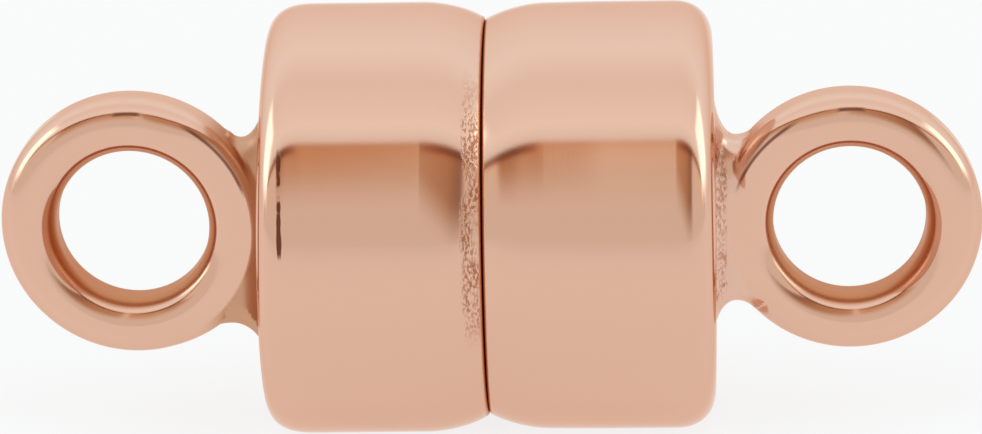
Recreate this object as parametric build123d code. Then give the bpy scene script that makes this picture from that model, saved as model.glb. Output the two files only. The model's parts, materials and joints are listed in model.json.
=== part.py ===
"""A round magnetic clasp for a bracelet or a necklace, closed, in polished rose gold.

Two short round cases meet rim to rim. Each case is one piece of metal with its ring: a cup that is
open at the seam, a flat outer end, and a ring with rounded edges, soldered to that end by a flared
neck. A disc magnet is glued into each cup. The plug's magnet stands out of its rim and seats in the
mouth of the socket, so the halves centre themselves, turn about the clasp's axis and pull apart.

Millimetres. The clasp's axis is X, with the socket half at -X and the plug half at +X. The rings
lie in the XZ plane, and their holes run along Y. The origin is on the axis, in the middle of the
overall length. Each half is modelled from the seam plane outwards along +X, and then moved there.
"""

from build123d import *
from math import sqrt
import os

# The two cases together look like one barrel
barrel_diameter = 4.50
socket_length = 2.29  # from the seam plane to the socket's outer end
plug_length = 2.36  # from the seam plane to the plug's outer end
case_wall = 0.55  # side wall, where the barrel is full width
end_wall = 0.50  # between a magnet's seat and the outer end
socket_corner_radius = 0.35  # round edge at the socket's outer end
plug_corner_radius = 0.32  # round edge at the plug's outer end

# The seam: both cases roll over to a narrower rim
seam_gap = 0.03  # between the two rims
socket_roll_length = 0.58  # length of the socket's rolled edge
plug_roll_length = 0.73  # length of the plug's rolled edge
socket_rim_drop = 0.165  # how far the socket's rim lies below the barrel's surface
plug_rim_drop = 0.185
rim_edge_radius = 0.04  # outer edge of a rim
mouth_chamfer = 0.05  # inner edge of a rim

# The magnets
glue_film = 0.03  # round a magnet and behind it, and its clearance in the socket's mouth
plug_stand = 0.30  # how far the plug's magnet stands out of its rim
magnet_face_gap = 0.05  # between the two magnets' faces
magnet_chamfer = 0.08

# The rings, bent from thick wire, alike on both halves
ring_hole_diameter = 1.60
ring_band = 0.58  # width of the wire, from the hole to the outside
ring_thickness = 0.76  # along Y
ring_edge_radius = 0.27
socket_ring_standoff = 0.05  # from the end to the ring's outside
plug_ring_standoff = 0.04

# The solder necks between a ring and its case
socket_neck_inset = 0.07  # how far the neck's face lies below the ring's face
plug_neck_inset = 0.03
socket_flare_radius = 0.33  # concave arcs above and below the neck
plug_flare_radius = 0.23
side_flare_radius = 0.12  # concave arcs before and behind the neck
flare_bite = 0.01  # how far a flare runs into the end, so that it crosses it cleanly

barrel_radius = barrel_diameter / 2
bore_radius = barrel_radius - case_wall
magnet_radius = bore_radius - glue_film
ring_outer_radius = ring_hole_diameter / 2 + ring_band
rim = seam_gap / 2  # distance of each rim from the seam plane


def short_arc(centre, start, end):
    """The arc from start to end about a centre, on the side where they are nearer each other."""
    hub = Vector(*centre)
    radius = (Vector(*start) - hub).length
    middle = hub + ((Vector(*start) + Vector(*end)) / 2 - hub).normalized() * radius
    return ThreePointArc(start, (middle.X, middle.Y), end)


def cup(length, roll_length, rim_drop, corner_radius):
    """A case without its ring: a solid of revolution about X, open at the seam.

    The profile runs over the rim, along the rolled edge and the barrel's side, round the corner to
    the axis, and back along the magnet's seat and the bore.
    """
    rim_radius = barrel_radius - rim_drop
    roll_end = rim + roll_length
    roll_radius = (roll_length**2 + rim_drop**2) / (2 * rim_drop)
    corner_start = length - corner_radius
    seat = length - end_wall
    profile = Curve() + [
        Line((rim, bore_radius), (rim, rim_radius)),
        short_arc(
            (roll_end, barrel_radius - roll_radius), (rim, rim_radius), (roll_end, barrel_radius)
        ),
        Line((roll_end, barrel_radius), (corner_start, barrel_radius)),
        short_arc(
            (corner_start, barrel_radius - corner_radius),
            (corner_start, barrel_radius),
            (length, barrel_radius - corner_radius),
        ),
        Polyline(
            (length, barrel_radius - corner_radius),
            (length, 0),
            (seat, 0),
            (seat, bore_radius),
            (rim, bore_radius),
        ),
    ]
    body = revolve(make_face(profile), Axis.X, 360)
    body = fillet(rim_edges(body)[-1], rim_edge_radius)
    return chamfer(rim_edges(body)[0], mouth_chamfer)


def rim_edges(body):
    """The circles that bound a cup's rim, from the mouth outwards."""
    return body.faces().filter_by(Axis.X).sort_by(Axis.X)[0].edges().sort_by(SortBy.LENGTH)


def ring(middle):
    """A ring whose hole's axis crosses X at middle: a rounded rectangle turned about that axis."""
    edge_radius = min(ring_edge_radius, 0.47 * ring_band, 0.47 * ring_thickness)
    section = RectangleRounded(ring_band, ring_thickness, edge_radius)
    section = Pos(middle + (ring_hole_diameter + ring_band) / 2, 0) * section
    return revolve(section, Axis((middle, 0, 0), (0, 1, 0)), 360)


def neck(length, middle, inset, flare_radius):
    """The solder between a ring and its case, from inside the end wall to inside the ring's band.

    Seen along Y it widens onto the ring and onto the end in one concave arc above and one below.
    Seen along Z it is a plate that flares onto the end. The neck is what both outlines share.
    """
    root = length - end_wall / 2
    tip = middle - (ring_hole_diameter + ring_band) / 2

    hub_x = length + flare_radius - flare_bite
    hub_z = sqrt((ring_outer_radius + flare_radius) ** 2 - (middle - hub_x) ** 2)
    end_z = hub_z - sqrt(flare_radius**2 - (flare_radius - flare_bite) ** 2)
    share = ring_outer_radius / (ring_outer_radius + flare_radius)
    touch_x = middle - (middle - hub_x) * share
    touch_z = hub_z * share
    seen_along_y = Curve() + [
        short_arc((hub_x, hub_z), (length, end_z), (touch_x, touch_z)),
        Polyline((touch_x, touch_z), (tip, 0), (touch_x, -touch_z)),
        short_arc((hub_x, -hub_z), (touch_x, -touch_z), (length, -end_z)),
        Polyline((length, -end_z), (root, -end_z), (root, end_z), (length, end_z)),
    ]

    half = ring_thickness / 2 - inset
    side_x = length + side_flare_radius - flare_bite
    side_y = half + side_flare_radius
    end_y = side_y - sqrt(side_flare_radius**2 - (side_flare_radius - flare_bite) ** 2)
    seen_along_z = Curve() + [
        short_arc((side_x, side_y), (length, end_y), (side_x, half)),
        Polyline((side_x, half), (tip, half), (tip, -half), (side_x, -half)),
        short_arc((side_x, -side_y), (side_x, -half), (length, -end_y)),
        Polyline((length, -end_y), (root, -end_y), (root, end_y), (length, end_y)),
    ]

    along_y = extrude(Plane.XZ * make_face(seen_along_y), side_y, both=True)
    along_z = extrude(make_face(seen_along_z), hub_z, both=True)
    return along_y & along_z


def case(length, roll_length, rim_drop, corner_radius, ring_standoff, inset, flare_radius):
    """A whole case: cup, neck and ring as one solid."""
    middle = length + ring_standoff + ring_outer_radius
    return (
        cup(length, roll_length, rim_drop, corner_radius)
        + neck(length, middle, inset, flare_radius)
        + ring(middle)
    )


def magnet(front, back):
    """A disc magnet between two distances from the seam plane, with small chamfers."""
    disc = Pos((front + back) / 2, 0, 0) * Rot(0, 90, 0) * Cylinder(magnet_radius, back - front)
    return chamfer(disc.edges().filter_by(GeomType.CIRCLE), magnet_chamfer)


plug_case = case(
    plug_length,
    plug_roll_length,
    plug_rim_drop,
    plug_corner_radius,
    plug_ring_standoff,
    plug_neck_inset,
    plug_flare_radius,
)
socket_case = case(
    socket_length,
    socket_roll_length,
    socket_rim_drop,
    socket_corner_radius,
    socket_ring_standoff,
    socket_neck_inset,
    socket_flare_radius,
)
plug_magnet = magnet(rim - plug_stand, plug_length - end_wall - glue_film)
socket_magnet = magnet(plug_stand - rim + magnet_face_gap, socket_length - end_wall - glue_film)

# The seam plane lies where the two halves' ends are as far from the origin as each other
plug_reach = plug_length + plug_ring_standoff + 2 * ring_outer_radius
socket_reach = socket_length + socket_ring_standoff + 2 * ring_outer_radius
seam = Pos((socket_reach - plug_reach) / 2, 0, 0)

pieces = {
    "socket_case": seam * mirror(socket_case, Plane.YZ),
    "socket_magnet": seam * mirror(socket_magnet, Plane.YZ),
    "plug_case": seam * plug_case,
    "plug_magnet": seam * plug_magnet,
}

os.makedirs("parts", exist_ok=True)
for name, piece in pieces.items():
    export_step(piece, f"parts/{name}.step")
    print(name, "volume", round(piece.volume, 3), "mm3, solids", len(piece.solids()))
print("overall length", round(plug_reach + socket_reach, 3), "mm")
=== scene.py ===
# %% [markdown]
# # A magnetic clasp in polished rose gold
#
# The clasp is two short round cases that meet at a seam, with a ring soldered to each outer end
# and a disc magnet glued into each case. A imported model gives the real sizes. This lesson builds
# a fine surface over each of its four solids, gives each surface the finish of the real metal,
# and lights it in a white tent, as small polished jewellery is photographed.

# %% Load the model and keep its box
import bmesh
import bpy
import functools
import json
import mathutils
import numpy as np
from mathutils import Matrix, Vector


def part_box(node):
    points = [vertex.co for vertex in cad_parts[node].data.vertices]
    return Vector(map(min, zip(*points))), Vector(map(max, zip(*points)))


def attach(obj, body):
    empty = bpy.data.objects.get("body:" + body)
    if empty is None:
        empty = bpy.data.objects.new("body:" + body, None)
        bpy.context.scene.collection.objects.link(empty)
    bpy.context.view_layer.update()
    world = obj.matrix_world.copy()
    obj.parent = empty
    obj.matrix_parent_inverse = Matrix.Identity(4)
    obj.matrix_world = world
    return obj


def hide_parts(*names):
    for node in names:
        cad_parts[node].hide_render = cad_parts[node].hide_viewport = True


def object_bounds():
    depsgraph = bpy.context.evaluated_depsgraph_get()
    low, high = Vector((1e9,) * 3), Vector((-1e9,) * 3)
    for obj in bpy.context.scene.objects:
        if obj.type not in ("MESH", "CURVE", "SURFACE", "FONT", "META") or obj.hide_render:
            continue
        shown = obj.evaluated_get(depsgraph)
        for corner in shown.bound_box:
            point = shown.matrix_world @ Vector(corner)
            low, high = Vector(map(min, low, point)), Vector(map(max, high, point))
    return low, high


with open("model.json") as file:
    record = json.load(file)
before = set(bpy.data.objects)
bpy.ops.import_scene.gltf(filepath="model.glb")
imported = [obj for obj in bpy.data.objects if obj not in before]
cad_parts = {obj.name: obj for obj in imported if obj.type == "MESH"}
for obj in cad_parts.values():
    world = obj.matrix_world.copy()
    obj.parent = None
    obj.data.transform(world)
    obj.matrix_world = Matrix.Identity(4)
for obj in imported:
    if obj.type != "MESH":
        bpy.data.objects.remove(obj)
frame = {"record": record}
cad_low, cad_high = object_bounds()

MM = 0.001
print("the model's box in mm:", [round((b - a) / MM, 2) for a, b in zip(cad_low, cad_high)])

# %% [markdown]
# ## Sizes
#
# The overall sizes are read from the model: the barrel's radius from its box, and each ring's
# middle and hole from the mount that a jump ring fastens to. The rest are the maker's own small
# sizes, in millimetres: walls, rounded edges, the rolled rims and the solder. Each half is
# described by its distance u outwards from the seam, so that one set of functions makes both.
# The halves aren't quite alike, because a jeweller rolls, bends and solders them by hand.

# %% Sizes from the model
BARREL_RADIUS = cad_high[2] / MM
SEAM_GAP = 0.03  # between the two rims of the model
mounts = {mount["name"]: mount for mount in frame["record"]["mounts"]}
plug_rim_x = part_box("plug_case")[0][0] / MM
SEAM_X = plug_rim_x - SEAM_GAP / 2
HOLE_RADIUS = mounts["plug_ring"]["dims"]["r_mm"]
ring_middles = {name: mounts[name]["pos_m"][0] / MM for name in ("socket_ring", "plug_ring")}
RING_OUTER = cad_high[0] / MM - ring_middles["plug_ring"]
print("barrel radius", round(BARREL_RADIUS, 3), "seam at x", round(SEAM_X, 3))
print("ring hole radius", HOLE_RADIUS, "outside", round(RING_OUTER, 3))

# %% The maker's small sizes, in millimetres
CASE_WALL = 0.55  # round the side
END_WALL = 0.50  # behind the magnet
RIM_U = 0.004  # the rims nearly touch at the seam
RIM_EDGE = 0.055  # rounding of a rim's outer edge
MOUTH_EDGE = 0.05  # rounding of a rim's inner edge
SEAT_EDGE = 0.05  # rounding in the corner of the magnet's seat
BORE_RADIUS = BARREL_RADIUS - CASE_WALL
RING_THICKNESS = 0.76
RING_EDGE = 0.28  # rounding of a ring's edges

# %% [markdown]
# Each half's own sizes are kept in one table, the socket's first and then the plug's:
#
# - shoulder is the rounded outer edge, as its length along u, its depth and its squareness.
# - end_slant is how much u falls on the flat end for each millimetre upwards.
# - roll_start is where the barrel starts to roll over to the rim, along an ellipse that is
#   roll_reach long and roll_depth deep. roll_kink is a slope with which it starts at once.
# - taper is a slight slope of the barrel from taper_start towards the seam.
# - ring_drop is how far the ring's middle hangs below the axis, and ring_stretch is by what
#   share one of its slanting diameters is longer than the other.
# - neck_inset to neck_foot are each given for the upper part in front and for the rest. The
#   neck's face lies neck_inset below the ring's face. Its rim is rounded by neck_edge over
#   neck_reach, and its foot on the end by neck_foot.
# - neck_turn is the height of the middle and half the length of the passage between the two.
# - solder_edge is the rounding of the ring's front edge beside the solder, above and below.
# - step_hollow is the hollow in the crease between the neck's face and the ring.
# - flare_above and flare_below are the solder's hollows as seen along the ring's hole: the
#   radius on the ring, and the reach and the rise of the ellipse on the end.

# %% The two halves
HALF_SIZES = {
    "side": (-1, 1),
    "length": (2.29, 2.36),
    "radius": (BARREL_RADIUS, BARREL_RADIUS - 0.015),
    "shoulder": ((0.50, 0.40, 2.7), (0.41, 0.40, 2.25)),
    "end_slant": (0.016, 0.0),
    "roll_start": (0.62, 0.64),
    "roll_reach": (0.74, 1.60),
    "roll_depth": (0.321, 1.84),
    "roll_kink": (0.05, 0.0),
    "taper_start": (0.62, 1.27),
    "taper": (0.0, 0.014),
    "ring_u": (SEAM_X - ring_middles["socket_ring"], ring_middles["plug_ring"] - SEAM_X),
    "ring_drop": (0.012, 0.052),
    "ring_stretch": (0.016, -0.008),
    "neck_inset": ((0.08, 0.0), (0.03, 0.0)),
    "neck_edge": ((0.29, RING_EDGE), (0.27, RING_EDGE)),
    "neck_reach": ((0.50, RING_EDGE), (0.40, RING_EDGE)),
    "neck_foot": ((0.10, 0.28), (0.08, 0.08)),
    "neck_turn": ((0.0, 0.35), (0.50, 0.20)),
    "solder_edge": ((0.13, 0.13), (0.14, RING_EDGE)),
    "step_hollow": (0.05, 0.03),
    "flare_above": ((0.12, 0.30, 0.82), (0.26, 0.235, 0.60)),
    "flare_below": ((0.56, 0.40, 0.61), (0.23, 0.23, 0.42)),
    "body": ("socket_half", "plug_half"),
}
socket, plug = ({key: sizes[i] for key, sizes in HALF_SIZES.items()} for i in (0, 1))
HALVES = {"socket": socket, "plug": plug}
for name, half in HALVES.items():
    print(name, "ring middle at u", round(half["ring_u"], 3))

# %% [markdown]
# ## A turned profile
#
# The barrel, the rolled rim and the cup inside are all round about the clasp's axis, as a lathe
# would turn them. Such a form is one outline, swept round the axis. The outline here is made of
# straight lines and arcs that touch, and each gives its own exact normals as well as its points.
# A mirror polish shows every error in a normal, so exact normals matter more than many faces.

# %% Lines and arcs with their normals
def line(start, end, count, normal):
    """Points evenly spaced from start to end, with one normal for all of them."""
    share = np.linspace(0, 1, count)[:, None]
    points = np.array(start) * (1 - share) + np.array(end) * share
    return points, np.tile(np.array(normal, float), (count, 1))


def arc(centre, radius, first, last, count, hollow=False):
    """Points centre + radius·(cos a, sin a) for angles a in degrees from first to last.

    The normal is (cos a, sin a), or its opposite where the solid lies outside the arc.
    """
    angle = np.radians(np.linspace(first, last, count))[:, None]
    ray = np.hstack([np.cos(angle), np.sin(angle)])
    return np.array(centre) + radius * ray, -ray if hollow else ray


def join(pieces):
    """One outline from pieces that meet end to end, with each shared point kept once."""
    points = np.vstack([pieces[0][0]] + [points[1:] for points, _ in pieces[1:]])
    normals = np.vstack([pieces[0][1]] + [normals[1:] for _, normals in pieces[1:]])
    return points, normals


print("an arc from 0 to 90 degrees ends at", arc((0, 0), 1, 0, 90, 3)[0][-1].round(3))

# %% The barrel's side
TAPER_SOFT = 0.15
KINK_SOFT = 0.0005
KINK_WIDTH = 6 * KINK_SOFT


def side_radius(half, u):
    """The barrel's radius at u: its full size, less a slight taper and the rolled edge.

    Taper and kink are straight slopes, each with a soft start: the square root of x² + s²,
    less s. The roll is a quarter of an ellipse.
    """
    inward = np.maximum(half["taper_start"] - u, 0)
    taper = half["taper"] * (np.hypot(inward, TAPER_SOFT) - TAPER_SOFT)
    rolled = np.maximum(half["roll_start"] - u, 0)
    kink = half["roll_kink"] * (np.hypot(rolled, KINK_SOFT) - KINK_SOFT)
    share = rolled / half["roll_reach"]
    return half["radius"] - taper - kink - half["roll_depth"] * (1 - np.sqrt(1 - share**2))


def side(half, first, last, count):
    """The barrel's side from u = first to last, with normals at right angles to its slope."""
    u = first + (last - first) * np.linspace(0, 1, count)
    tiny = 1e-6
    slope = (side_radius(half, u + tiny) - side_radius(half, u - tiny)) / (2 * tiny)
    normals = np.column_stack([-slope, np.ones(count)]) / np.hypot(slope, 1)[:, None]
    return np.column_stack([u, side_radius(half, u)]), normals


for name, half in HALVES.items():
    print(name, "radius at the rim", round(float(side_radius(half, RIM_U)), 3))

# %% The rim's edge and the shoulder
FINE_STEPS = 4001


def rim_touch(half):
    """The u at which the rim's small edge, a circle that touches the rim's plane, meets the side."""
    points, normals = side(half, RIM_U, half["roll_start"], FINE_STEPS)
    return np.interp(RIM_U + RIM_EDGE, points[:, 0] - RIM_EDGE * normals[:, 0], points[:, 0])


def shoulder(half, count):
    """The outer edge, a quarter of a squarish ellipse: |x/a|^n + |y/b|^n = 1, from its flat end.

    A point at angle t lies at (a·cos t, b·sin t) / (|cos t|^n + |sin t|^n)^(1/n) from the middle.
    """
    along, down, power = half["shoulder"]
    t = np.linspace(0, np.pi / 2, count)
    unit = np.column_stack([np.abs(np.cos(t)), np.abs(np.sin(t))])
    unit = unit / (unit**power).sum(1, keepdims=True) ** (1 / power)
    normals = unit ** (power - 1) / (along, down)
    middle = np.array([half["length"] - along, half["radius"] - down])
    return middle + unit * (along, down), normals / np.linalg.norm(normals, axis=1)[:, None]


print("the rims' edges end at u", [round(float(rim_touch(half)), 3) for half in HALVES.values()])


# %% The cup's whole outline
def case_outline(half):
    """The cup's outline as (u, radius), from the flat end over the rim to the magnet's seat.

    A very short piece carries the kink, so that the shading doesn't blur it.
    """
    length, shoulder_start = half["length"], half["length"] - half["shoulder"][0]
    touch = rim_touch(half)
    past_kink = half["roll_start"] - KINK_WIDTH
    roll = side(half, past_kink, touch, 25)
    edge_u = RIM_U + RIM_EDGE
    edge_r = roll[0][-1, 1] - RIM_EDGE * roll[1][-1, 1]
    lean = np.degrees(np.arctan2(roll[1][-1, 1], roll[1][-1, 0]))
    seat = length - END_WALL
    mouth_r = BORE_RADIUS + MOUTH_EDGE
    return join(
        [
            shoulder(half, 33),
            side(half, shoulder_start, half["roll_start"], 21),
            side(half, half["roll_start"], past_kink, 2),
            roll,
            arc((edge_u, edge_r), RIM_EDGE, lean, 180, 9),
            line((RIM_U, edge_r), (RIM_U, mouth_r), 3, (-1, 0)),
            arc((RIM_U + MOUTH_EDGE, mouth_r), MOUTH_EDGE, 180, 270, 7),
            line((RIM_U + MOUTH_EDGE, BORE_RADIUS), (seat - SEAT_EDGE, BORE_RADIUS), 5, (0, -1)),
            arc((seat - SEAT_EDGE, BORE_RADIUS - SEAT_EDGE), SEAT_EDGE, 90, 0, 5, hollow=True),
            line((seat, BORE_RADIUS - SEAT_EDGE), (seat, 0), 4, (-1, 0)),
        ]
    )


outline_points, _ = case_outline(HALVES["socket"])
print("points on the socket's outline:", len(outline_points))

# %% Sweep an outline round the clasp's axis
TURNS = 288


def turned(outline):
    """Points (u, r·sin a, r·cos a) for each outline point (u, r) and angle a, as grid faces.

    An end of the outline that lies on the axis becomes one point with a fan of triangles.
    """
    points, normals = outline
    angle = np.linspace(0, 2 * np.pi, TURNS, endpoint=False)
    turn = np.stack([np.ones(TURNS), np.sin(angle), np.cos(angle)], axis=-1)
    grid = points[:, None, [0, 1, 1]] * turn
    grid_normals = normals[:, None, [0, 1, 1]] * turn
    rows = len(points) - 1 if points[-1, 1] == 0 else len(points)
    here = np.arange((rows - 1) * TURNS).reshape(rows - 1, TURNS)
    beside = np.roll(here, -1, axis=1)
    faces = np.stack([here, beside, beside + TURNS, here + TURNS], axis=-1).reshape(-1, 4)
    flat = grid[:rows].reshape(-1, 3)
    flat_normals = grid_normals[:rows].reshape(-1, 3)
    fans = []
    if rows < len(points):
        last = np.arange((rows - 1) * TURNS, rows * TURNS)
        tip = np.full(TURNS, rows * TURNS)
        fans.append(np.stack([last, np.roll(last, -1), tip], axis=-1))
        flat = np.vstack([flat, [[points[-1, 0], 0, 0]]])
        flat_normals = np.vstack([flat_normals, [[normals[-1, 0], 0, 0]]])
    return flat, flat_normals, [faces, *fans]


test_points, _, test_faces = turned(case_outline(HALVES["plug"]))
print("turned part of the plug:", len(test_points), "points,", len(test_faces[0]), "quads")

# %% [markdown]
# ## A ring soldered to a flat end
#
# The ring is easy to turn, but solder flows: it fills the corner between ring and case with a
# smooth hollow that no outline sweeps. A distance field describes it well. Each simple form gives
# its distance from any point, and two forms are joined by a rounded minimum, which leaves a
# hollow of a chosen radius between them, as solder does. The surface is where the joined field is
# zero. This is the one piece of the clasp that isn't a swept grid, because no grid of two
# parameters covers a form that branches.
#
# In front, above the middle, the neck's face lies a little lower than the ring's, and the ring's
# edge is sharper, so that a crease sets the ring off. Below and behind, the neck runs flush into
# the ring's face.

# %% Distances of simple forms
def rounded_union(a, b, radius):
    """The smaller of two distances, with a hollow of that radius where both are small."""
    return np.maximum(radius, np.minimum(a, b)) - np.hypot(
        np.maximum(radius - a, 0), np.maximum(radius - b, 0)
    )


def rounded_box(across, along, half_width, half_height, radius):
    """Distance of a rectangle with rounded corners, from a point's two coordinates."""
    x = np.abs(across) - (half_width - radius)
    y = np.abs(along) - (half_height - radius)
    return np.hypot(np.maximum(x, 0), np.maximum(y, 0)) + np.minimum(np.maximum(x, y), 0) - radius


def rounded_plate(outside, y, half_height, edge):
    """Distance of a plate |y| < half_height whose rim, where outside = 0, is rounded by edge."""
    x = np.maximum(outside + edge, 0)
    over = np.abs(y) - (half_height - edge)
    return np.where(x > 0, np.hypot(x, np.maximum(over, 0)) - edge, np.maximum(over - edge, outside))


def eased(share):
    """Goes smoothly from 0 to 1 as the share does, and stays there outside."""
    share = np.clip(share, 0, 1)
    return share**2 * (3 - 2 * share)


print("a hollow of 0.1 between two planes reaches", round(-float(rounded_union(0, 0, 0.1)), 3), "mm")

# %% The solder as seen along the ring's hole
NECK_FADE = 14.0  # degrees round the ring in which the neck sinks into it
FRONT_BLEND = 0.10  # half the depth in which the front passes into the back
SIDE_HOLLOW = 0.10  # radius of the hollow between the neck's faces and the end
HOLLOW_FADE = 0.20  # depth inside the outline over which the crease's hollow grows
SOLDER_SPAN = (40.0, 75.0)  # degrees round the ring in which its sharper edge ends


def seen_along_hole(x, z, middle, flare, reach, rise):
    """Distance of the disc and the end, with a hollow of solder that touches both.

    x is measured from the flat end, and the disc's middle lies at x = middle on the axis. The
    hollow is lowest at x = reach. On the ring's side it is an arc of radius flare that touches
    the disc, with the distance flare less that from its hub. On the end's side it is a quarter of
    an ellipse, reach long and rise high, with its distance divided by how fast that grows. Also
    gives how far the solder creeps out from the end at each height.
    """
    hub_z = np.sqrt((RING_OUTER + flare) ** 2 - (middle - reach) ** 2)
    on_end = x < reach
    squash_x = np.where(on_end, flare / reach, 1.0)
    squash_z = np.where(on_end, flare / rise, 1.0)
    dx = (x - reach) * squash_x
    dz = (np.abs(z) - hub_z + flare) * squash_z - flare
    beside_ring = (middle - reach) * dz + hub_z * dx < 0
    hollow = (dz < 0) & (on_end | beside_ring)
    from_hub = np.maximum(np.hypot(dx, dz), 1e-9)
    growth = np.maximum(np.hypot(squash_x * dx, squash_z * dz), 1e-9) / from_hub
    plain = np.minimum(np.hypot(x - middle, z) - RING_OUTER, x)
    up = np.clip((hub_z - flare + rise - np.abs(z)) / rise, 0, 1)
    creep = reach - reach * np.sqrt(1 - up**2)
    return np.where(hollow, (flare - from_hub) / growth, plain), creep


# %% The ring, its neck and the end in one field
def soldered_ring(half):
    """The field of one ring, its neck and the flat end, as a function of points (u, y, z)."""
    band = RING_OUTER - HOLE_RADIUS
    band_middle = (RING_OUTER + HOLE_RADIUS) / 2
    middle = half["ring_u"] - half["length"]
    flares = half["flare_above"], half["flare_below"]
    touches = [np.degrees(np.arccos((middle - x) / (RING_OUTER + r))) for r, x, _ in flares]
    longer, shorter = 1 + half["ring_stretch"] / 2, 1 - half["ring_stretch"] / 2

    def field(points):
        u, y, z = points[..., 0], points[..., 1], points[..., 2]
        end = u - half["length"] + half["end_slant"] * z
        across, z = u - half["ring_u"], z + half["ring_drop"]
        front = eased(0.5 - y / FRONT_BLEND / 2)
        # The ring is bent by hand, and one of its slanting diameters may be a little the longer
        from_hole_axis = np.hypot((across + z) / longer, (across - z) / shorter) / np.sqrt(2)
        round_ring = np.degrees(np.arctan2(np.abs(z), -across))
        near = eased((SOLDER_SPAN[1] - round_ring) / (SOLDER_SPAN[1] - SOLDER_SPAN[0]))
        turn, turn_half = half["neck_turn"]
        upper = eased((z - turn) / turn_half / 2 + 0.5)
        edge_above, edge_below = half["solder_edge"]
        solder_edge = edge_below + (edge_above - edge_below) * upper
        edge = RING_EDGE + (solder_edge - RING_EDGE) * near * front
        edge = np.where(from_hole_axis > band_middle, edge, RING_EDGE)
        ring = rounded_box(from_hole_axis - band_middle, y, band / 2, RING_THICKNESS / 2, edge)
        # The neck is a plate with rounded edges that sinks into the ring past the solder's arcs
        above = z > 0
        seen, creep = np.where(above, *(seen_along_hole(end, z, middle, *r) for r in flares))
        upper = upper * front
        neck_height, neck_edge, neck_reach, neck_foot = (
            half[key][1] + (half[key][0] - half[key][1]) * upper
            for key in ("neck_inset", "neck_edge", "neck_reach", "neck_foot")
        )
        neck_height = RING_THICKNESS / 2 - neck_height
        neck = rounded_plate(seen * neck_edge / neck_reach, y, neck_height, neck_edge)
        neck = np.maximum(neck, rounded_plate(-end, y, neck_height, neck_foot))
        neck = neck + neck_edge * eased((round_ring - np.where(above, *touches)) / NECK_FADE)
        neck = np.maximum(neck, band_middle - from_hole_axis)
        # A hollow fades out where its two forms run into one another, or it would stand proud
        step_hollow = half["step_hollow"] * upper * np.clip(-seen / HOLLOW_FADE, 0, 1)
        side_hollow = np.minimum(SIDE_HOLLOW, creep)
        return rounded_union(rounded_union(ring, neck, step_hollow), end, side_hollow)

    return field


def gradient(field, points, reach=1e-4):
    """How fast the field grows along each axis, from points a ten-thousandth of a mm away."""
    steps = np.eye(3) * reach
    return np.stack([field(points + s) - field(points - s) for s in steps], axis=-1) / (2 * reach)


probe = soldered_ring(HALVES["plug"])(np.array([[HALVES["plug"]["ring_u"], 0.0, 0.0]]))
print("the hole's middle is", round(float(probe[0]), 3), "mm from the metal")

# %% [markdown]
# ## From a field to a mesh
#
# A net of cells is laid over the field. Each cell that the surface crosses gets one point, and
# each crossed edge of the net joins the four points round it into a quad. The points are then
# slid along the surface until they are evenly spread, and pulled onto it exactly. Their normals
# come from the field itself, so the polish stays smooth.

# %% Lay a net over a field
def cell_points(value, grid, step):
    """For each cell, the mean of the places where the surface crosses its edges, and their count."""
    cells = tuple(n - 1 for n in value.shape)
    total = np.zeros(cells + (3,))
    count = np.zeros(cells)
    for axis in range(3):
        low = np.take(value, range(value.shape[axis] - 1), axis)
        high = np.take(value, range(1, value.shape[axis]), axis)
        crossed = (low < 0) != (high < 0)
        share = np.where(crossed, low / np.where(crossed, low - high, 1), 0)
        where = np.take(grid, range(value.shape[axis] - 1), axis).copy()
        where[..., axis] += share * step
        others = [a for a in range(3) if a != axis]
        for shift in ((0, 0), (0, 1), (1, 0), (1, 1)):
            window = [slice(None)] * 3
            for other, s in zip(others, shift):
                window[other] = slice(s, s + cells[other])
            hit = crossed[tuple(window)]
            total += where[tuple(window)] * hit[..., None]
            count += hit
    return total, count


# %% Join the cells' points into quads, and spread them
def net_quads(value, index):
    """Quads of the four cells round each crossed edge, wound to face from solid to air."""
    quads = []
    for axis in range(3):
        order = (axis, (axis + 1) % 3, (axis + 2) % 3)
        solid = np.transpose(value, order) < 0
        cell = np.transpose(index, order)
        leaves = (solid[:-1] & ~solid[1:])[:, 1:-1, 1:-1]
        enters = (~solid[:-1] & solid[1:])[:, 1:-1, 1:-1]
        ring = [cell[:, :-1, :-1], cell[:, 1:, :-1], cell[:, 1:, 1:], cell[:, :-1, 1:]]
        quads.append(np.stack([c[leaves] for c in ring], axis=-1))
        quads.append(np.stack([c[enters] for c in reversed(ring)], axis=-1))
    return np.vstack(quads)


def settle(field, points, quads, rounds=6):
    """Moves each point towards its neighbours' mean and back onto the surface, a few times."""
    edges = np.vstack([quads[:, [i, (i + 1) % 4]] for i in range(4)])
    sorted_edges, uses = np.unique(np.sort(edges, axis=1), axis=0, return_counts=True)
    free = np.ones(len(points), bool)
    free[sorted_edges[uses == 1].ravel()] = False
    both = np.vstack([sorted_edges, sorted_edges[:, ::-1]])
    neighbours = np.bincount(both[:, 0], minlength=len(points))
    for _ in range(rounds):
        mean = np.stack(
            [np.bincount(both[:, 0], points[both[:, 1], a], len(points)) for a in range(3)], axis=-1
        )
        mean /= neighbours[:, None]
        points = np.where(free[:, None], (points + mean) / 2, points)
        for _ in range(3):
            slope = gradient(field, points)
            points = points - field(points)[:, None] * slope / (slope**2).sum(1, keepdims=True)
    return points


# %% The nets of both rings
NET_STEP = 0.027
NET_MARGIN = 5 * NET_STEP  # in front of the solder and behind it
FLARE_MARGIN = 0.34  # above the ring and below it, where the solder creeps along the end


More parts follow.
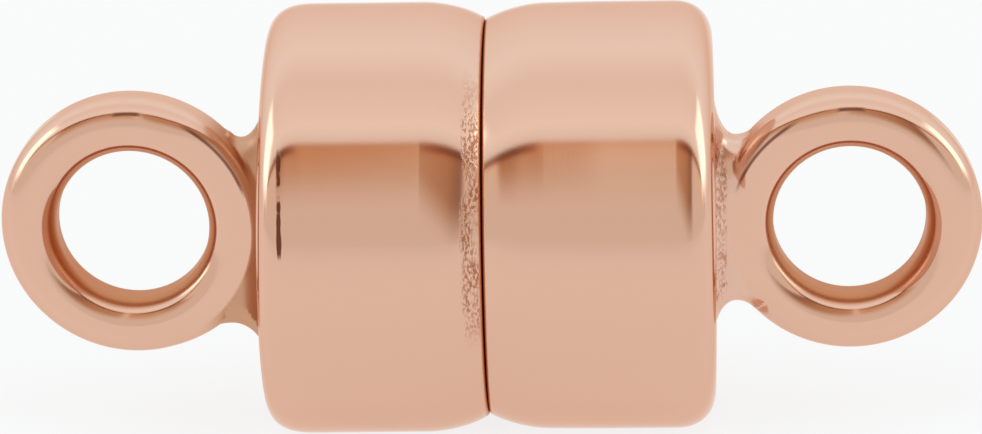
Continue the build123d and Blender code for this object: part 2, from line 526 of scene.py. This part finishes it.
def net_over(half):
    """Points, normals and quads of the ring, its neck and the part of the flat end round it."""
    field = soldered_ring(half)
    # The net starts inside the end wall, below the lowest part of a slanted end
    low = np.array(
        [
            half["length"] - 1.5 * NET_STEP - half["end_slant"] * RING_OUTER * 1.2,
            -RING_THICKNESS / 2 - SIDE_HOLLOW - NET_MARGIN,
            -RING_OUTER - FLARE_MARGIN,
        ]
    )
    high = -low
    high[0] = half["ring_u"] + RING_OUTER + 2 * NET_STEP
    axes = [np.arange(a, b + NET_STEP, NET_STEP) for a, b in zip(low, high)]
    grid = np.stack(np.meshgrid(*axes, indexing="ij"), axis=-1)
    value = field(grid)
    total, count = cell_points(value, grid, NET_STEP)
    active = count > 0
    index = np.full(active.shape, -1)
    index[active] = np.arange(active.sum())
    points = total[active] / count[active][:, None]
    quads = net_quads(value, index)
    points = settle(field, points, quads)
    normals = gradient(field, points)
    normals /= np.linalg.norm(normals, axis=1, keepdims=True)
    off = np.abs(field(points)).max()
    print("net:", len(points), "points,", len(quads), "quads, off the surface by", off, "mm at most")
    return points, normals, quads


ring_nets = {name: net_over(half) for name, half in HALVES.items()}

# %% [markdown]
# ## One closed skin for each case
#
# The swept cup stops where its outer corner meets the flat end, and the net stops on the same
# flat end, round the neck. The space between the two borders is flat, so a plain fill of
# triangles closes it. No border is left then: the skin is one closed piece of metal, as the
# soldered case is.

# %% Build a mesh with its own normals
SAME_PLANE = 2e-7  # metres
NO_END = 1e9


def to_world(values, side, offset=0.0):
    """From (u, y, z) to (x, y, z): u runs towards -X in the socket and +X in the plug."""
    return np.column_stack([side * values[:, 0] + offset, values[:, 1], values[:, 2]])


def close_flat_end(mesh, end_x, slant):
    """Fills the flat gap between two borders that lie on the plane x = end_x + slant·z."""
    work = bmesh.new()
    work.from_mesh(mesh)
    rim = [
        e
        for e in work.edges
        if e.is_boundary and all(abs(v.co.x - end_x - slant * v.co.z) < SAME_PLANE for v in e.verts)
    ]
    bmesh.ops.triangle_fill(work, edges=rim, use_beauty=True)
    bmesh.ops.recalc_face_normals(work, faces=work.faces)
    open_edges = sum(1 for e in work.edges if not e.is_manifold)
    work.to_mesh(mesh)
    work.free()
    return open_edges


def finish_mesh(name, points, normals, faces, end_x=NO_END, slant=0.0):
    """A smooth object whose shading uses the given normals. Lengths are in millimetres.

    A gap at a flat end is filled. A piece without such a gap has its end nowhere near.
    """
    mesh = bpy.data.meshes.new(name)
    mesh.from_pydata((points * MM).tolist(), [], [f for group in faces for f in group.tolist()])
    open_edges = close_flat_end(mesh, end_x * MM, slant)
    mesh.polygons.foreach_set("use_smooth", np.ones(len(mesh.polygons), bool))
    mesh.normals_split_custom_set_from_vertices(normals.tolist())
    piece = bpy.data.objects.new(name, mesh)
    bpy.context.collection.objects.link(piece)
    triangles = sum(len(p.vertices) - 2 for p in mesh.polygons)
    print(name, "has", triangles, "triangles and", open_edges, "open edges")
    return piece


# %% Put cup and ring together
def slanted(half, points, normals):
    """Shifts u by less slant·z·w, where w grows from 0 at the roll to 1 at the end."""
    slant, start = half["end_slant"], half["roll_start"]
    reach = half["length"] - start
    weight = np.clip((points[:, 0] - start) / reach, 0, 1)
    points, normals = points.copy(), normals.copy()
    points[:, 0] -= slant * points[:, 2] * weight
    normals[:, 2] += slant * weight * normals[:, 0]
    return points, normals / np.linalg.norm(normals, axis=1)[:, None]


def case_skin(name, half):
    """The cup and the soldered ring as one closed mesh."""
    cup_points, cup_normals, cup_faces = turned(case_outline(half))
    cup_points, cup_normals = slanted(half, cup_points, cup_normals)
    net_points, net_normals, net_faces = ring_nets[name]
    points = np.vstack([cup_points, net_points])
    normals = np.vstack([cup_normals, net_normals])
    faces = cup_faces + [net_faces + len(cup_points)]
    end_x = SEAM_X + half["side"] * half["length"]
    return finish_mesh(
        name + "_case_skin",
        to_world(points, half["side"], SEAM_X),
        to_world(normals, half["side"]),
        faces,
        end_x,
        -half["side"] * half["end_slant"],
    )


skins = {name: case_skin(name, half) for name, half in HALVES.items()}

# %% [markdown]
# ## The magnets
#
# Each magnet is a plain disc with small rounded edges, plated with nickel. It is glued into its
# cup, and shows only when the clasp is open. The disc is swept from an outline like the cup's.

# %% Sweep the two magnets
MAGNET_EDGE = 0.08


def magnet_outline(low_u, high_u, radius):
    """A disc's outline from its inner face's middle, over both rounded edges, to its outer face."""
    e = MAGNET_EDGE
    return join(
        [
            line((high_u, 0), (high_u, radius - e), 5, (1, 0)),
            arc((high_u - e, radius - e), e, 0, 90, 7),
            line((high_u - e, radius), (low_u + e, radius), 5, (0, 1)),
            arc((low_u + e, radius - e), e, 90, 180, 7),
            line((low_u, radius - e), (low_u, 0), 5, (-1, 0)),
        ]
    )


def magnet_skin(name):
    """The magnet's disc, sized by the box of its solid. Both tips are closed by fans."""
    low, high = (np.array(corner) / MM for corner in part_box(name))
    outline = magnet_outline(low[0], high[0], high[2])
    points, normals = (part[1:] for part in outline)
    disc, disc_normals, faces = turned((points, normals))
    tip = len(disc)
    first = np.arange(TURNS)
    fan = np.stack([np.roll(first, -1), first, np.full(TURNS, tip)], axis=-1)
    disc = np.vstack([disc, [[outline[0][0, 0], 0, 0]]])
    disc_normals = np.vstack([disc_normals, [[1, 0, 0]]])
    return finish_mesh(name + "_disc", disc, disc_normals, faces + [fan])


discs = {name: magnet_skin(name) for name in ("socket_magnet", "plug_magnet")}

# %% [markdown]
# ## Materials
#
# A material starts from what the real one is. 14 karat rose gold is gold with much copper. The
# clasp is cast or pressed, tumbled and buffed: a metal mirror that is slightly soft, with a faint
# orange peel, and with rough skin left only where no buff reaches. The magnets are plated with
# nickel, a yellowish grey metal. Patterns are measured in millimetres on Object coordinates.
#
# One small function adds every node. It takes each input as a value or as another node's output,
# and the helpers after it are named for what they do to a mask or a colour.

# %% Helpers for colours and nodes
def linear(hex_colour):
    """The linear colour of an sRGB hex value such as E3B7A0, with alpha 1."""
    channels = [int(hex_colour[i : i + 2], 16) / 255 for i in (0, 2, 4)]
    return [c / 12.92 if c <= 0.04045 else ((c + 0.055) / 1.055) ** 2.4 for c in channels] + [1.0]


def add_node(tree, kind, inputs, output=0, **settings):
    """Adds a node, sets its properties and its inputs, and returns one of its outputs."""
    node = tree.nodes.new("ShaderNode" + kind)
    for key, value in settings.items():
        setattr(node, key, value)
    for key, value in inputs.items():
        if isinstance(value, bpy.types.NodeSocket):
            tree.links.new(value, node.inputs[key])
        else:
            node.inputs[key].default_value = value
    return node.outputs[output] if len(node.outputs) else None


def new_material(name):
    """An empty node material, and the function that adds nodes to it."""
    material = bpy.data.materials.new(name)
    material.use_nodes = True
    material.node_tree.nodes.clear()
    return material, functools.partial(add_node, material.node_tree)


print("sRGB 808080 is", round(linear("808080")[0], 3), "in linear light")


# %% Helpers for masks
def step_up(add, value, low, high):
    """Goes smoothly from 0 where the value is at low to 1 where it is at high."""
    span = {"Value": value, "From Min": low, "From Max": high}
    return add("MapRange", span, interpolation_type="SMOOTHSTEP")


def less(add, value, other):
    """The value less the other."""
    return add("Math", {0: value, 1: other}, operation="SUBTRACT")


def distance_from(add, coordinate, middle):
    """How far a coordinate is from middle."""
    return add("Math", {0: less(add, coordinate, middle)}, operation="ABSOLUTE")


def product(add, first, *factors):
    """All the factors multiplied: a mask that every one of them has to allow."""
    for factor in factors:
        first = add("Math", {0: first, 1: factor}, operation="MULTIPLY")
    return first


def largest(add, first, *masks):
    """The largest of the masks: one that any of them brings about."""
    for mask in masks:
        first = add("Math", {0: first, 1: mask}, operation="MAXIMUM")
    return first


def layered(add, colour, *layers):
    """A colour with others laid over it, each where its mask is 1."""
    for mask, layer in layers:
        colour = add("Mix", {0: mask, 6: colour, 7: layer}, 2, data_type="RGBA")
    return colour


def millimetres(add, place):
    """The three coordinates of a place, in millimetres."""
    scaled = add("VectorMath", {"Vector": place, "Scale": 1 / MM}, operation="SCALE")
    return add("SeparateXYZ", {"Vector": scaled}).node.outputs


# %% [markdown]
# A buff is a soft wheel. It misses the socket's rim beside the seam and the plug's neck, so the
# cast skin is left there: fine pits, 0.02 mm across, which turning smears round the clasp.

# %% Pits of the cast skin
GRAIN_SIZE = 0.022
PATCH_SIZE = 0.25
RIM_SKIN = (-0.105, 0.055)  # the band's middle from the seam, and half its width
NECK_SKIN = (2.37, 0.05)  # the same in the plug's neck, from the clasp's middle
SKIN_EDGE = 0.05
SKIN_RAGGED = 0.10
RIM_FOOT = (-0.9, -0.3)  # heights between which the band fades in
RIM_TOP = (1.95, 1.2)
NECK_HEIGHT = 0.05
NECK_SPAN = (0.95, 0.75)
NECK_DEPTH = (0.50, 0.42)
NECK_SHARE = 0.7
PIT_GRAIN = (0.42, 0.60)
PIT_PATCHES = (0.30, 0.60)


def pitted_skin(add, x, y, z, grain, patches):
    """Pits in a ragged band on the socket's rim and, fainter, on the plug's neck."""
    ragged = product(add, patches, SKIN_RAGGED)
    rim_x = less(add, distance_from(add, x, SEAM_X + RIM_SKIN[0]), ragged)
    on_rim = product(
        add,
        step_up(add, rim_x, RIM_SKIN[1], RIM_SKIN[1] - SKIN_EDGE),
        step_up(add, z, *RIM_FOOT),
        step_up(add, z, *RIM_TOP),
    )
    neck_x = less(add, distance_from(add, x, NECK_SKIN[0]), ragged)
    on_neck = product(
        add,
        step_up(add, neck_x, NECK_SKIN[1], NECK_SKIN[1] - SKIN_EDGE),
        step_up(add, distance_from(add, z, NECK_HEIGHT), *NECK_SPAN),
        step_up(add, distance_from(add, y, 0.0), *NECK_DEPTH),
        NECK_SHARE,
    )
    skin = largest(add, on_rim, on_neck)
    return product(add, skin, step_up(add, grain, *PIT_GRAIN), step_up(add, patches, *PIT_PATCHES))


print("cast skin lies", -RIM_SKIN[0], "mm left of the seam, with a grain of", GRAIN_SIZE, "mm")

# %% [markdown]
# Painted shade darkens the groove of the seam, a broken dark line runs round the socket's
# shoulder, and a painted dark reflection lies along the upper front edge of each ring. Only the
# last needs the distance from a ring's hole, which also tells the wall of the hole and the solder
# apart.

# %% Painted shade in the seam, and a dark line round the shoulder
GROOVE_EDGE = (0.047, 0.033)
GROOVE_RAGGED = 0.02
SHOULDER_LINE = -2.057  # from the clasp's middle
LINE_RAGGED = 0.04
LINE_EDGE = (0.004, -0.006)
LINE_PATCHES = (0.42, 0.50)
LINE_HEIGHT = 0.72
LINE_SPAN = (0.55, 0.45)
IN_FRONT = (0.0, -0.5)


def in_groove(add, x, grain):
    """1 within the seam's narrow groove, with a slightly ragged border."""
    aside = {0: distance_from(add, x, SEAM_X), 1: product(add, grain, GROOVE_RAGGED)}
    return step_up(add, add("Math", aside, operation="ADD"), *GROOVE_EDGE)


# A broken dark line round the socket's shoulder, drawn darker and duller than the gold
def dark_shoulder_line(add, x, y, z, patches):
    """A broken line round the socket's shoulder, in front and from z = 0.2 to z = 1.3."""
    ragged = product(add, patches, LINE_RAGGED)
    line_x = less(add, distance_from(add, x, SHOULDER_LINE), ragged)
    return product(
        add,
        step_up(add, line_x, *LINE_EDGE),
        step_up(add, patches, *LINE_PATCHES),
        step_up(add, distance_from(add, z, LINE_HEIGHT), *LINE_SPAN),
        step_up(add, y, *IN_FRONT),
    )


print("the groove looks", 2 * GROOVE_EDGE[0], "mm wide")


# %% Places on a ring
HOLE_WALL = (0.90, 0.84)
SOLDER_INSIDE = (1.25, 1.29)  # from the hole's axis
SOLDER_REACH = ((2.30, 2.34), (3.10, 2.75))  # from the clasp's middle, where it starts and ends
# Painted reflection: a dark line on each ring's upper front edge, where the roof's edge shows
TOP_LINE = 1.25  # from the hole's axis
TOP_LINE_EDGE = (0.026, 0.006)
TOP_LINE_HALF = (0.18, 0.10)  # from the ring's top to either side
TOP_LINE_ALONG_SOLDER = (3.25, 3.05)
TOP_LINE_UPWARDS = (0.30, 0.50)
TOP_LINE_IN_FRONT = (-0.05, -0.2)


def around_hole(add, x, z):
    """Distances from the clasp's middle and the ring's middle along X, and from the hole's axis.

    z is first measured from the ring's own middle, which hangs lower in the plug.
    """
    socket_drop, plug_drop = (half["ring_drop"] for half in HALVES.values())
    sideways = add("Math", {0: x}, operation="SIGN")
    over = add("Math", {0: z, 1: (socket_drop + plug_drop) / 2}, operation="ADD")
    over = less(add, over, product(add, sideways, (socket_drop - plug_drop) / 2))
    outward = distance_from(add, x, 0.0)
    across = distance_from(add, outward, ring_middles["plug_ring"])
    squares = {0: product(add, across, across), 1: product(add, over, over)}
    hole_r = add("Math", {0: add("Math", squares, operation="ADD")}, operation="SQRT")
    return outward, across, hole_r


def on_solder(add, outward, hole_r):
    """1 on the solder, and on the flat end beside it."""
    return product(
        add,
        step_up(add, hole_r, *SOLDER_INSIDE),
        *(step_up(add, outward, *limits) for limits in SOLDER_REACH),
    )


# Painted reflection: a dark line on the ring's upper front edge, running on beside the solder
def painted_dark_top_line(add, y, z, outward, across, hole_r):
    """A line on the ring's upper front edge, at its top and along the solder."""
    at_top = step_up(add, across, *TOP_LINE_HALF)
    return product(
        add,
        step_up(add, distance_from(add, hole_r, TOP_LINE), *TOP_LINE_EDGE),
        largest(add, at_top, step_up(add, outward, *TOP_LINE_ALONG_SOLDER)),
        step_up(add, z, *TOP_LINE_UPWARDS),
        step_up(add, y, *TOP_LINE_IN_FRONT),
    )


print("the solder reaches", SOLDER_REACH[1][0], "mm from the clasp's middle")

# %% Polished rose gold
ROSE_GOLD = "E3B7A0"
EDGE_TINT = "FAE8DC"
# Painted shade and light: the socket's solder is painted darker, the plug's a trace paler
SOLDER_SHADE_AND_LIGHT = ("CF9F80", "E4BCA8")  # on the socket and on the plug
CAST_SKIN = "A8623C"
# Painted shade: the wall of each ring's hole is painted brown for the shade it reflects
HOLE_PAINTED_SHADE = "C68259"
# Colour of the painted dark reflection on the rings' top line, and of the shoulder's dark line
DARK_LINE_AND_REFLECTION = "74432F"
# Painted shade: the rims beside the seam's groove are painted darker
SEAM_PAINTED_SHADE = "D69A78"
SKIN_SHADE = 0.85  # shares of the full colour
TOP_LINE_SHADE = 0.85
POLISHED_ROUGHNESS = 0.11
DULL_ROUGHNESS = 0.25  # added where all of the polish is missing
HOLE_DULL = 0.9  # shares of the missing polish
GROOVE_DULL = 0.8
SOLDER_DULL = (1.1, 0.4)
SMEAR = (1.0, 0.45, 0.45)  # turning draws the grain out round the clasp
WAVE_SIZE = 0.6
WAVE_HEIGHT = 0.0012
GRAIN_HEIGHT = 0.00012
PIT_DEPTH = 0.0025


def polished_rose_gold():
    """14 karat rose gold, cast and buffed: warm pink mirror with a faint orange peel.

    Buffing leaves slow waves, about 0.6 mm long and a fraction of a micron high. The wall of a
    ring's hole is left as it was cast, and the solder is only brushed, so both are rougher. The
    hole's wall is also painted brown, a painted shade of what it reflects. The solder is painted
    darker on the socket as painted shade, and a trace paler on the plug as painted light.
    """
    material, add = new_material("polished_rose_gold")
    place = add("TexCoord", {}, "Object")
    x, y, z = millimetres(add, place).values()
    waves = add("TexNoise", {"Vector": place, "Scale": 1 / (WAVE_SIZE * MM), "Detail": 1.0})
    smeared = add("Mapping", {"Vector": place, "Scale": SMEAR})
    grain = add("TexNoise", {"Vector": smeared, "Scale": 1 / (GRAIN_SIZE * MM), "Detail": 3.0})
    patches = add("TexNoise", {"Vector": place, "Scale": 1 / (PATCH_SIZE * MM), "Detail": 2.0})

    pits = pitted_skin(add, x, y, z, grain, patches)
    groove = in_groove(add, x, grain)
    outward, across, hole_r = around_hole(add, x, z)
    hole = step_up(add, hole_r, *HOLE_WALL)
    solder = on_solder(add, outward, hole_r)
    # The ring's top line is a dark reflection painted into the colour
    painted_line_reflection = product(add, painted_dark_top_line(add, y, z, outward, across, hole_r), TOP_LINE_SHADE)
    line = largest(add, dark_shoulder_line(add, x, y, z, patches), painted_line_reflection)
    on_plug = step_up(add, x, 0.0, 0.1)

    colour = layered(
        add,
        linear(ROSE_GOLD),
        # Painted shade on the socket's solder, painted light on the plug's
        (solder, layered(add, linear(SOLDER_SHADE_AND_LIGHT[0]), (on_plug, linear(SOLDER_SHADE_AND_LIGHT[1])))),
        (product(add, pits, SKIN_SHADE), linear(CAST_SKIN)),
        # Painted shade: the hole's wall is painted brown
        (hole, linear(HOLE_PAINTED_SHADE)),
        # Painted reflection on the ring's top line, and the shoulder's dark line
        (line, linear(DARK_LINE_AND_REFLECTION)),
        # Painted shade: the seam's groove is painted darker
        (groove, linear(SEAM_PAINTED_SHADE)),
    )
    less_on_plug = product(add, on_plug, SOLDER_DULL[0] - SOLDER_DULL[1])
    brushed = less(add, SOLDER_DULL[0], less_on_plug)
    dull = largest(
        add,
        pits,
        line,
        product(add, hole, HOLE_DULL),
        product(add, groove, GROOVE_DULL),
        product(add, solder, brushed),
    )
    extra = product(add, dull, DULL_ROUGHNESS)
    rough = add("Math", {0: extra, 1: POLISHED_ROUGHNESS}, operation="ADD")
    # Each bump starts from the normal of the one before, and the pits go inwards
    bumped = {}
    for relief, size in ((waves, WAVE_HEIGHT), (grain, GRAIN_HEIGHT), (pits, PIT_DEPTH)):
        bump = {"Height": relief, "Strength": 1.0, "Distance": size * MM, **bumped}
        bumped = {"Normal": add("Bump", bump, invert=relief is pits)}
    shader = add(
        "BsdfPrincipled",
        {
            "Base Color": colour,
            "Metallic": 1.0,
            "Roughness": rough,
            "Specular Tint": linear(EDGE_TINT),
            **bumped,
        },
    )
    add("OutputMaterial", {"Surface": shader})
    return material


gold = polished_rose_gold()
print(gold.name, "has", len(gold.node_tree.nodes), "nodes")

# %% Nickel plate
NICKEL = "C8C2B8"
# Painted shade where the magnet lies in the seam
NICKEL_SEAM_SHADE = "8A5A46"
PLATE_ROUGHNESS = 0.28
PLATE_GRAIN = 0.05
PLATE_GRAIN_HEIGHT = 0.0004


def nickel_plate():
    """Nickel plated over a sintered magnet: a satin grey metal with a fine matt grain.

    The seam's painted shade also lies on the plug's magnet, in a thin darker ring.
    """
    material, add = new_material("nickel_plate")
    place = add("TexCoord", {}, "Object")
    grain = add("TexNoise", {"Vector": place, "Scale": 1 / (PLATE_GRAIN * MM), "Detail": 2.0})
    seam_shade = in_groove(add, millimetres(add, place)["X"], grain)
    relief = {"Height": grain, "Strength": 1.0, "Distance": PLATE_GRAIN_HEIGHT * MM}
    shader = add(
        "BsdfPrincipled",
        {
            "Base Color": layered(add, linear(NICKEL), (seam_shade, linear(NICKEL_SEAM_SHADE))),
            "Metallic": 1.0,
            "Roughness": PLATE_ROUGHNESS,
            "Normal": add("Bump", relief),
        },
    )
    add("OutputMaterial", {"Surface": shader})
    return material


nickel = nickel_plate()
print(nickel.name, "has", len(nickel.node_tree.nodes), "nodes")

# %% Give each piece its material
for piece in skins.values():
    piece.data.materials.append(gold)
for piece in discs.values():
    piece.data.materials.append(nickel)
print("materials:", gold.name, "and", nickel.name)

# %% [markdown]
# ## Put each piece on its body
#
# A piece moves with the body that it rides on, and stands for the solid that it replaces.

# %% Ride and replace
for name, half in HALVES.items():
    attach(skins[name], half["body"])
    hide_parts(name + "_case")

magnet_bodies = {"socket_magnet": "socket_half", "plug_magnet": "plug_core"}
for name, body in magnet_bodies.items():
    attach(discs[name], body)
    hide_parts(name)

# %% [markdown]
# ## The floor
#
# Small jewellery is photographed on a white sheet that is lit through, so that nearly no shadow
# lies under it. The sheet here glows by itself and takes the rest of its light from the tent,
# which leaves a faint shadow where the barrel touches it. It is a trace brighter just before the
# barrel and dims towards the tent's open front, because polished metal shows that too.

# %% A pale sheet under the barrel
FLOOR_HALF = 1500.0
FLOOR_STRENGTH = 1.1
SHEET_GREY = "707070"
FLOOR_BY_DEPTH = [
    (-45, "D2D2D2"),
    (-2.5, "DDDDDD"),
    (-1.1, "E0E2E3"),
    (0.5, "DDDDDD"),
    (30, "DDDDDD"),
]


def ramp(add, value, stops):
    """A colour ramp over a number, with stops as (number, sRGB hex)."""
    low, high = stops[0][0], stops[-1][0]
    share = add("MapRange", {"Value": value, "From Min": low, "From Max": high})
    colour = add("ValToRGB", {"Fac": share})
    elements = colour.node.color_ramp.elements
    for at, _ in stops[1:-1]:
        elements.new((at - low) / (high - low))
    for element, (at, shade) in zip(elements, stops):
        element.position = (at - low) / (high - low)
        element.color = linear(shade)
    return colour


def pale_sheet():
    """A flat square at the barrel's lowest line, with a paper-white material that partly glows."""
    material, add = new_material("lit_white_sheet")
    depth = millimetres(add, add("TexCoord", {}, "Object"))["Y"]
    shader = add(
        "BsdfPrincipled",
        {
            "Base Color": linear(SHEET_GREY),
            "Roughness": 0.9,
            "Specular IOR Level": 0.0,
            "Emission Strength": FLOOR_STRENGTH,
            "Emission Color": ramp(add, depth, FLOOR_BY_DEPTH),
        },
    )
    add("OutputMaterial", {"Surface": shader})
    corner = FLOOR_HALF * MM
    level = -BARREL_RADIUS * MM
    square = [(-corner, -corner), (corner, -corner), (corner, corner), (-corner, corner)]
    mesh = bpy.data.meshes.new("pale_floor")
    mesh.from_pydata([(x, y, level) for x, y in square], [], [(0, 1, 2, 3)])
    mesh.materials.append(material)
    floor = bpy.data.objects.new("pale_floor", mesh)
    bpy.context.collection.objects.link(floor)
    return floor


pale_sheet()
print("floor level in mm:", round(-BARREL_RADIUS, 3))

# %% [markdown]
# ## The light tent
#
# Polished metal shows its surroundings, so they are most of its look. A white tent is a roof that
# runs on past both ends of the clasp. Its front is open for the camera, and dimmer there, darkest
# just under the roof's front edge, which a rail carries. The camera's stand shades the opening
# too, but for a narrow part in its middle. A tall lamp stands to the left of the clasp and
# another to the right.
#
# All of it is painted on the world, by direction. "Height" is the angle about the clasp's axis in
# degrees, from the front horizon over the top to the back. "Reach" is how far the direction
# points to the right, from -1 to 1.

# %% What the tent shows at each height and reach
TENT_STRENGTH = 1.25
TENT_BY_HEIGHT = [
    (-180, "DCD4CE"),
    (-5, "D4D4D0"),
    (14, "D4D4CE"),
    (27, "D6D3CC"),
    (38, "D8D2C8"),
    (46, "DDD3C5"),
    (52, "DDCAB6"),
    (54, "D0B89C"),
    (57, "E2E8EA"),
    (66, "EDF4F6"),
    (76, "E8ECEE"),
    (92, "E4E7E8"),
    (116, "EBF7FC"),
    (130, "E8F3F8"),
    (146, "E7EEF2"),
    (160, "E3E7EA"),
    (180, "DCD4CE"),
]
SHADE_BY_REACH = [
    (-1, "FFFFFF"),
    (-0.68, "FFFFFF"),
    (-0.62, "CDA88C"),
    (-0.50, "CDA88C"),
    (-0.36, "E0C4AE"),
    (-0.15, "DEC0A8"),
    (-0.085, "E2C2A2"),
    (-0.063, "E6C6AA"),
    (-0.050, "D2AE92"),
    (-0.046, "E2C8B2"),
    (-0.035, "FFFFFF"),
    (0.015, "FFFFFF"),
    (0.04, "DCBFA8"),
    (0.12, "D8BAA2"),
    (0.30, "D2AE94"),
    (0.40, "CBA688"),
    (0.50, "B79280"),
    (0.58, "A88C80"),
    (0.66, "FFFFFF"),
    (1, "FFFFFF"),
]
RAIL_BY_REACH = [
    (-1, "A07658"),
    (-0.42, "9C7254"),
    (-0.28, "BC967C"),
    (-0.18, "DCC4B0"),
    (-0.11, "FFFFFF"),
    (0.02, "FFFFFF"),
    (0.10, "DEC6B2"),
    (0.30, "B88C6C"),
    (1, "A87C5E"),
]
print("tent stops by height:", len(TENT_BY_HEIGHT), "and by reach:", len(SHADE_BY_REACH))

# %% Where the shade, the rail and the lamps end
SHADE_REACHES = (-0.03, 0.45)
SHADE_FEET = (18.0, -6.0)  # the shade's lowest heights at those reaches
SHADE_FADE = 32.0
ROOF_EDGE = (57.0, 54.0)
RAIL_FOOT = (49.0, 52.0)
RAIL_TOP = (56.5, 54.5)
LAMP_COLOUR = "DCFFFF"
LAMP_MIDDLE = -0.02
LAMP_HALF = 0.24
LAMP_FOOT = (0.08, 0.25)
LAMP_TOP = (0.72, 0.60)
BACKDROP = "E6E6E6"


def tent_masks(add, height, reach, y, z):
    """The shade under the roof, the rail of the roof's front edge, and the two lamps."""
    # The shade starts lower down the further it reaches to the right
    foot = add(
        "MapRange",
        {
            "Value": reach,
            "From Min": SHADE_REACHES[0],
            "From Max": SHADE_REACHES[1],
            "To Min": SHADE_FEET[0],
            "To Max": SHADE_FEET[1],
        },
    )
    over_foot = step_up(add, less(add, height, foot), 0.0, SHADE_FADE)
    shaded = product(add, over_foot, step_up(add, height, *ROOF_EDGE))
    rail = product(add, step_up(add, height, *RAIL_FOOT), step_up(add, height, *RAIL_TOP))
    lit = product(
        add,
        step_up(add, distance_from(add, y, LAMP_MIDDLE), LAMP_HALF, LAMP_HALF / 2),
        step_up(add, z, *LAMP_FOOT),
        step_up(add, z, *LAMP_TOP),
    )
    return shaded, rail, lit


print("the rail is darkest from", RAIL_FOOT[1], "to", RAIL_TOP[1], "degrees of height")


# %% Paint the tent on the world
def light_tent():
    """A world whose colour depends on direction, and is plain and pale where the camera sees it."""
    world = bpy.data.worlds.new("light_tent")
    world.use_nodes = True
    world.node_tree.nodes.clear()
    add = functools.partial(add_node, world.node_tree)
    direction = add("TexCoord", {}, "Generated")
    reach, y, z = add("SeparateXYZ", {"Vector": direction}).node.outputs.values()
    turn = add("Math", {0: z, 1: product(add, y, -1.0)}, operation="ARCTAN2")
    height = add("Math", {0: turn}, operation="DEGREES")
    shaded, rail, lit = tent_masks(add, height, reach, y, z)
    colour = ramp(add, height, TENT_BY_HEIGHT)
    for how, mask, other in (
        ("MULTIPLY", shaded, ramp(add, reach, SHADE_BY_REACH)),
        ("MULTIPLY", rail, ramp(add, reach, RAIL_BY_REACH)),
        ("ADD", lit, linear(LAMP_COLOUR)),
    ):
        colour = add("Mix", {0: mask, 6: colour, 7: other}, 2, data_type="RGBA", blend_type=how)
    seen = add("LightPath", {}, "Is Camera Ray")
    colour = layered(add, colour, (seen, linear(BACKDROP)))
    background = add("Background", {"Color": colour, "Strength": TENT_STRENGTH})
    add("OutputWorld", {"Surface": background})
    return world


bpy.context.scene.world = light_tent()
bpy.context.scene.view_settings.view_transform = "Standard"
print("the tent has", len(bpy.context.scene.world.node_tree.nodes), "nodes")

# %% [markdown]
# ## The camera
#
# The photograph was taken from a little above, at 16 degrees, and almost square on. The clasp
# fills the frame from edge to edge, its far ring slightly raised by the camera's own tilt.

# %% Place the camera
CAMERA_DISTANCE = 50.0
CAMERA_BEARING = 2.0
CAMERA_HEIGHT = 16.0
CAMERA_TILT = 1.20
CAMERA_AIM = (0.0, 0.0, -0.012)
CAMERA_LENS = 175.0


def photo_camera():
    """A camera on a sphere about the clasp's middle, turned to it and tilted about its view line."""
    data = bpy.data.cameras.new("photo_camera")
    data.lens = CAMERA_LENS
    data.sensor_width = 36.0
    data.clip_start = 0.001
    camera = bpy.data.objects.new("photo_camera", data)
    bearing, height = np.radians([CAMERA_BEARING, CAMERA_HEIGHT])
    ray = np.array(
        [np.sin(bearing) * np.cos(height), -np.cos(bearing) * np.cos(height), np.sin(height)]
    )
    target = mathutils.Vector(CAMERA_AIM) * MM
    camera.location = target + mathutils.Vector(ray) * CAMERA_DISTANCE * MM
    aim = (target - camera.location).to_track_quat("-Z", "Y")
    aim.rotate(mathutils.Quaternion(ray, -np.radians(CAMERA_TILT)))
    camera.rotation_mode = "QUATERNION"
    camera.rotation_quaternion = aim
    bpy.context.collection.objects.link(camera)
    return camera


bpy.context.scene.camera = photo_camera()
print("camera at", [round(c / MM, 2) for c in bpy.context.scene.camera.location], "mm")
